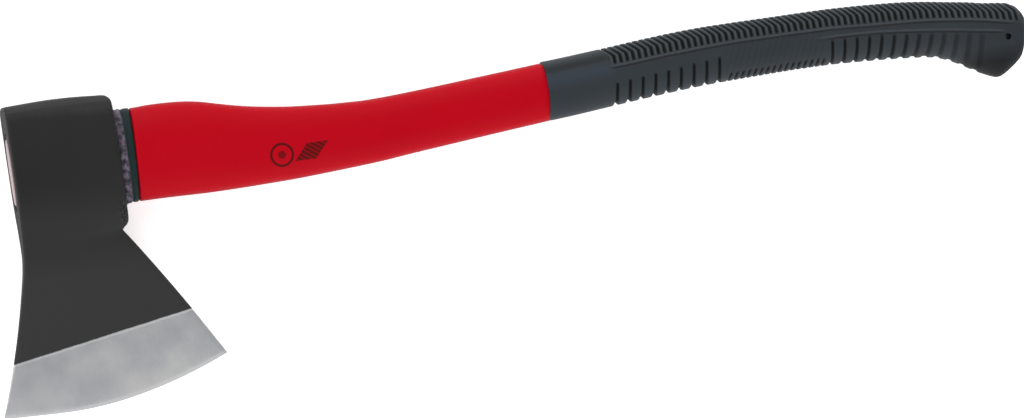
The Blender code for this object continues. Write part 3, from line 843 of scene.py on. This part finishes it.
gripBacks, gripBellies, gripSides = [[(row[0], row[c]) for row in gripRows] for c in (1, 2, 3)]
shape = grip["points"], grip["power"]
gripRings = []
startX = gripFront - grip["frontReach"] * mm
for along, inset in grip["lip"]:
    x, inset = startX + along * mm, inset * mm
    back, belly, side = through(gripBacks, x), through(gripBellies, x), through(gripSides, x)
    bow = grip["frontBow"] * mm * (1 - along / 9)
    centre = (back + belly) / 2
    ring = []
    for px, py, pz in oval((x, back - inset), (x, belly + inset), side - inset, *shape):
        forward = bow * ((py - centre) / (back - centre)) ** 2
        ring.append((px - forward - grip["frontLean"] * (centre - py), py, pz))
    gripRings.append(ring)
for x in spread(startX + 9 * mm, 538 * mm, grip["rings"]):
    back, belly, side = through(gripBacks, x), through(gripBellies, x), through(gripSides, x)
    gripRings.append(oval((x, back), (x, belly), side, *shape))
knobSide = through(gripSides, 548 * mm)
for top, bottom, narrow in grip["knob"]:
    top, bottom = [c * mm for c in top], [c * mm for c in bottom]
    gripRings.append(oval(top, bottom, knobSide * narrow, *shape))
rubberGrip = loft("rubberGrip", gripRings, caps=("ngon", "grid"))
smoothed(rubberGrip, 2)


def cutFiner(piece, low, high, cuts, straightness):
    # splits the edges that run along the handle, between two places
    bpy.ops.object.select_all(action="DESELECT")
    piece.select_set(True)
    bpy.context.view_layer.objects.active = piece
    bpy.ops.object.mode_set(mode="EDIT")
    bpy.ops.mesh.select_mode(type="EDGE")
    bpy.ops.mesh.select_all(action="DESELECT")
    mesh = bmesh.from_edit_mesh(piece.data)
    for edge in mesh.edges:
        a, b = edge.verts[0].co, edge.verts[1].co
        run = b - a
        if low < min(a.x, b.x) and max(a.x, b.x) < high and abs(run.x) > straightness * run.length:
            edge.select_set(True)
    bmesh.update_edit_mesh(piece.data)
    bpy.ops.mesh.subdivide(number_cuts=cuts, smoothness=0)
    bpy.ops.object.mode_set(mode="OBJECT")


cutFiner(rubberGrip, 318 * mm, 542 * mm, 2, 0.75)
cutFiner(rubberGrip, 542 * mm, 567 * mm, 1, 0.5)


def ramp(value, low, high):
    share = np.clip((value - low) / (high - low), 0, 1)
    return share * share * (3 - 2 * share)


def ridge(distance, width, softness):
    return 1 - ramp(np.abs(distance), width / 2 - softness / 2, width / 2 + softness / 2)


count = len(rubberGrip.data.vertices)
points = np.empty(count * 3)
rubberGrip.data.vertices.foreach_get("co", points)
px, py, pz = (points.reshape(count, 3) / mm).T
pz = np.abs(pz - midPlane / mm)
tableX = np.linspace(284, 568, 569)
back = np.interp(px, tableX, [through(gripBacks, x * mm) / mm for x in tableX])
belly = np.interp(px, tableX, [through(gripBellies, x * mm) / mm for x in tableX])
upper = np.interp(px, tableX, [through(grip["upperBorder"], x) for x in tableX])
lower = np.interp(px, tableX, [through(grip["lowerBorder"], x) for x in tableX])

# ribs over the back, down to the upper border
ribs = px - 0.85 * np.clip(back - py, 0, 5.5) - 0.12 * pz + 3.6
wave = np.cos(2 * np.pi * ribs / grip["ribPitch"])
fade = ramp(ribs, grip["ribsFrom"] - 2, grip["ribsFrom"] + 0.5) * (1 - ramp(px, *grip["ribsTo"]))
fade = fade * ramp(py - upper, 0.6, 1.8)
grooves = grip["ribDepth"] * ramp(wave, -0.1, 0.6) * fade
crests = ramp(-wave, 0.1, 0.9) * fade

# curved finger slots on the belly's sides
for x, top, lean, width, depth in grip["frontSlots"] + grip["rearSlots"]:
    inFront = x < grip["slotGroupsMeet"]
    if top is None:
        top = through(grip["lowerBorder"], x) - 2.4
    bottom = through(gripBellies, x * mm) / mm
    climb = np.clip((py - bottom) / (top - bottom), 0, 1.2)
    middle = x + lean * ((climb if inFront else climb**0.65) - 0.6)
    lip = np.exp(-np.clip(py - bottom, 0, 50) / 1.6)  # the slot opens out and deepens at the belly
    flat = width * (1 + 2.6 * lip) * 0.18
    slot = 1 - ramp(np.abs(px - middle), flat, flat + 0.8 + 0.35 * max(0, width - 2))
    slot = slot * (1 - ramp(py, top - 0.8, top + 0.5)) * np.where(py < upper, 1, 0)
    grooves = np.maximum(grooves, depth * slot * (1 + (0.45 if inFront else 0.1) * lip))

# fine notches across the belly, between the two groups of slots
notchesFrom, notchesTo = grip["notches"]
leaning = px - grip["notchLean"] * (py - belly) - notchesFrom
wave = np.cos(2 * np.pi * leaning / grip["ribPitch"])
inNotches = ramp(px, notchesFrom - 2, notchesFrom) * (1 - ramp(px, notchesTo - 2, notchesTo))
low = 1 - ramp(py - belly, 3.0, 5.5)
onSide = 0.1 * (1 - low) * np.where(py < upper - 1.5, 1, 0)
grooves = np.maximum(grooves, grip["notchDepth"] * ramp(wave, -0.1, 0.8) * inNotches * (low + onSide))

# raised border lines on the sides
borders = 0
for line, (fadeIn, fadeOut) in ((upper, grip["upperSpan"]), (lower, grip["lowerSpan"])):
    on = ramp(px, *fadeIn) * (1 - ramp(px, *fadeOut))
    borders = np.maximum(borders, ridge(py - line, grip["borderWidth"], 1.0) * on)
borders = borders * np.where(pz > 6, 1, 0)


def pushed(piece, name, amount, strength):
    group = piece.vertex_groups.new(name=name)
    for index in np.nonzero(amount > 0.001)[0]:
        group.add([int(index)], float(amount[index]), "REPLACE")
    applyModifier(piece, "DISPLACE", vertex_group=name, strength=strength * mm, mid_level=0)
    piece.vertex_groups.clear()


pushed(rubberGrip, "grooves", grooves / 2, -2)
pushed(rubberGrip, "borders", borders, grip["borderHeight"])
# the painted groove shade is lighter in the rear slots
softer = 1 - 0.5 * ramp(px, 470, 530) * np.where(py < upper, 1, 0)
for name, values in (
    ("cavity", np.clip(grooves / 0.85, 0, 1) * softer - 0.5 * crests),  # painted shade in the grooves, and painted highlight below zero on rib crests
    ("upperAway", py - upper),  # how far above each border line
    ("lowerAway", py - lower),
    ("belowBack", back - py),
):
    layer = rubberGrip.data.attributes.new(name, "FLOAT", "POINT")
    layer.data.foreach_set("value", values)
bpy.ops.object.select_all(action="DESELECT")
hole = grip["hole"]
bpy.ops.mesh.primitive_cylinder_add(
    vertices=hole["points"], radius=hole["width"] / 2 * mm, depth=hole["depth"] * mm,
    location=(hole["at"][0] * mm, hole["at"][1] * mm, midPlane),
)
cutAway(rubberGrip, bpy.context.object)
shadeByAngle(rubberGrip, 55)

gripTones = grip["tones"]
gripMaterial, wire = newMaterial("gripRubber")
place, x, y, _ = objectPlace(wire)
x, y = x / mm, y / mm
tone = noise(wire, place, 60, 3)
speckle = noise(wire, place, 1600, 3)
cavity, upperAway, lowerAway, below = [
    wire.node("Attribute", {"attribute_name": name}, output=2)
    for name in ("cavity", "upperAway", "lowerAway", "belowBack")
]
# painted shade in the grooves and painted highlight on the rib crests
deep = cavity.clamped()
crest = (-2 * cavity).clamped()
upperOn, lowerOn = [
    ((x - start) / over).clamped() * x.under(*end)
    for (start, over), end in (grip["upperTone"], grip["lowerTone"])
]
# painted highlight along each raised border line, painted shade just below it
borderHighlight = upperAway.absolute().under(0.5, 0.4) * upperOn
borderHighlight = borderHighlight + lowerAway.absolute().under(0.5, 0.4) * lowerOn
borderShade = (upperAway + 1.3).absolute().under(0.5, 0.5) * upperOn
borderShade = borderShade + (lowerAway + 1.3).absolute().under(0.5, 0.5) * lowerOn
sleeve = x.under(grip["sleeveTo"], 6)  # the plain part at the front
sheenBand = (below - 12).absolute().under(3.5, 6.0) * sleeve
shadeLine = (below - 5.4).absolute().under(1.9, 2.4) * sleeve
knobShade = ((x - grip["knobFrom"]) / 40).clamped()
heelX, heelY = grip["heelFrom"]
heelShade = ((heelY - y) / 9).clamped() * ((x - heelX) / 15).clamped()
clean = tone.mix(*gripTones["base"])
for mask, strength, name in (
    (sheenBand, 0.7, "sheenBand"), (shadeLine, 0.8, "shadeLine"), (knobShade, 0.25, "knob"),
    (heelShade, 0.9, "heel"),
):
    clean = (mask * strength).mix(clean, gripTones[name])
clean = (crest * 0.5 + borderHighlight * 0.6).clamped().mix(clean, gripTones["crest"])
dark = (deep + borderShade * 0.7 + (speckle - 0.5) * 0.2).clamped()
finishMaterial(
    wire,
    Base_Color=dark.mix(clean, gripTones["deep"]),
    Roughness=(0.5 + tone * 0.12 + speckle * 0.1 + deep * 0.25 + heelShade * 0.15).clamped(),
    Normal=bump(wire, speckle * 0.2 + borderHighlight - borderShade, 0.3 * mm),
    Specular_IOR_Level=0.28,
)
finishPiece(rubberGrip, gripMaterial, "grip_rubber", "rubber_grip")
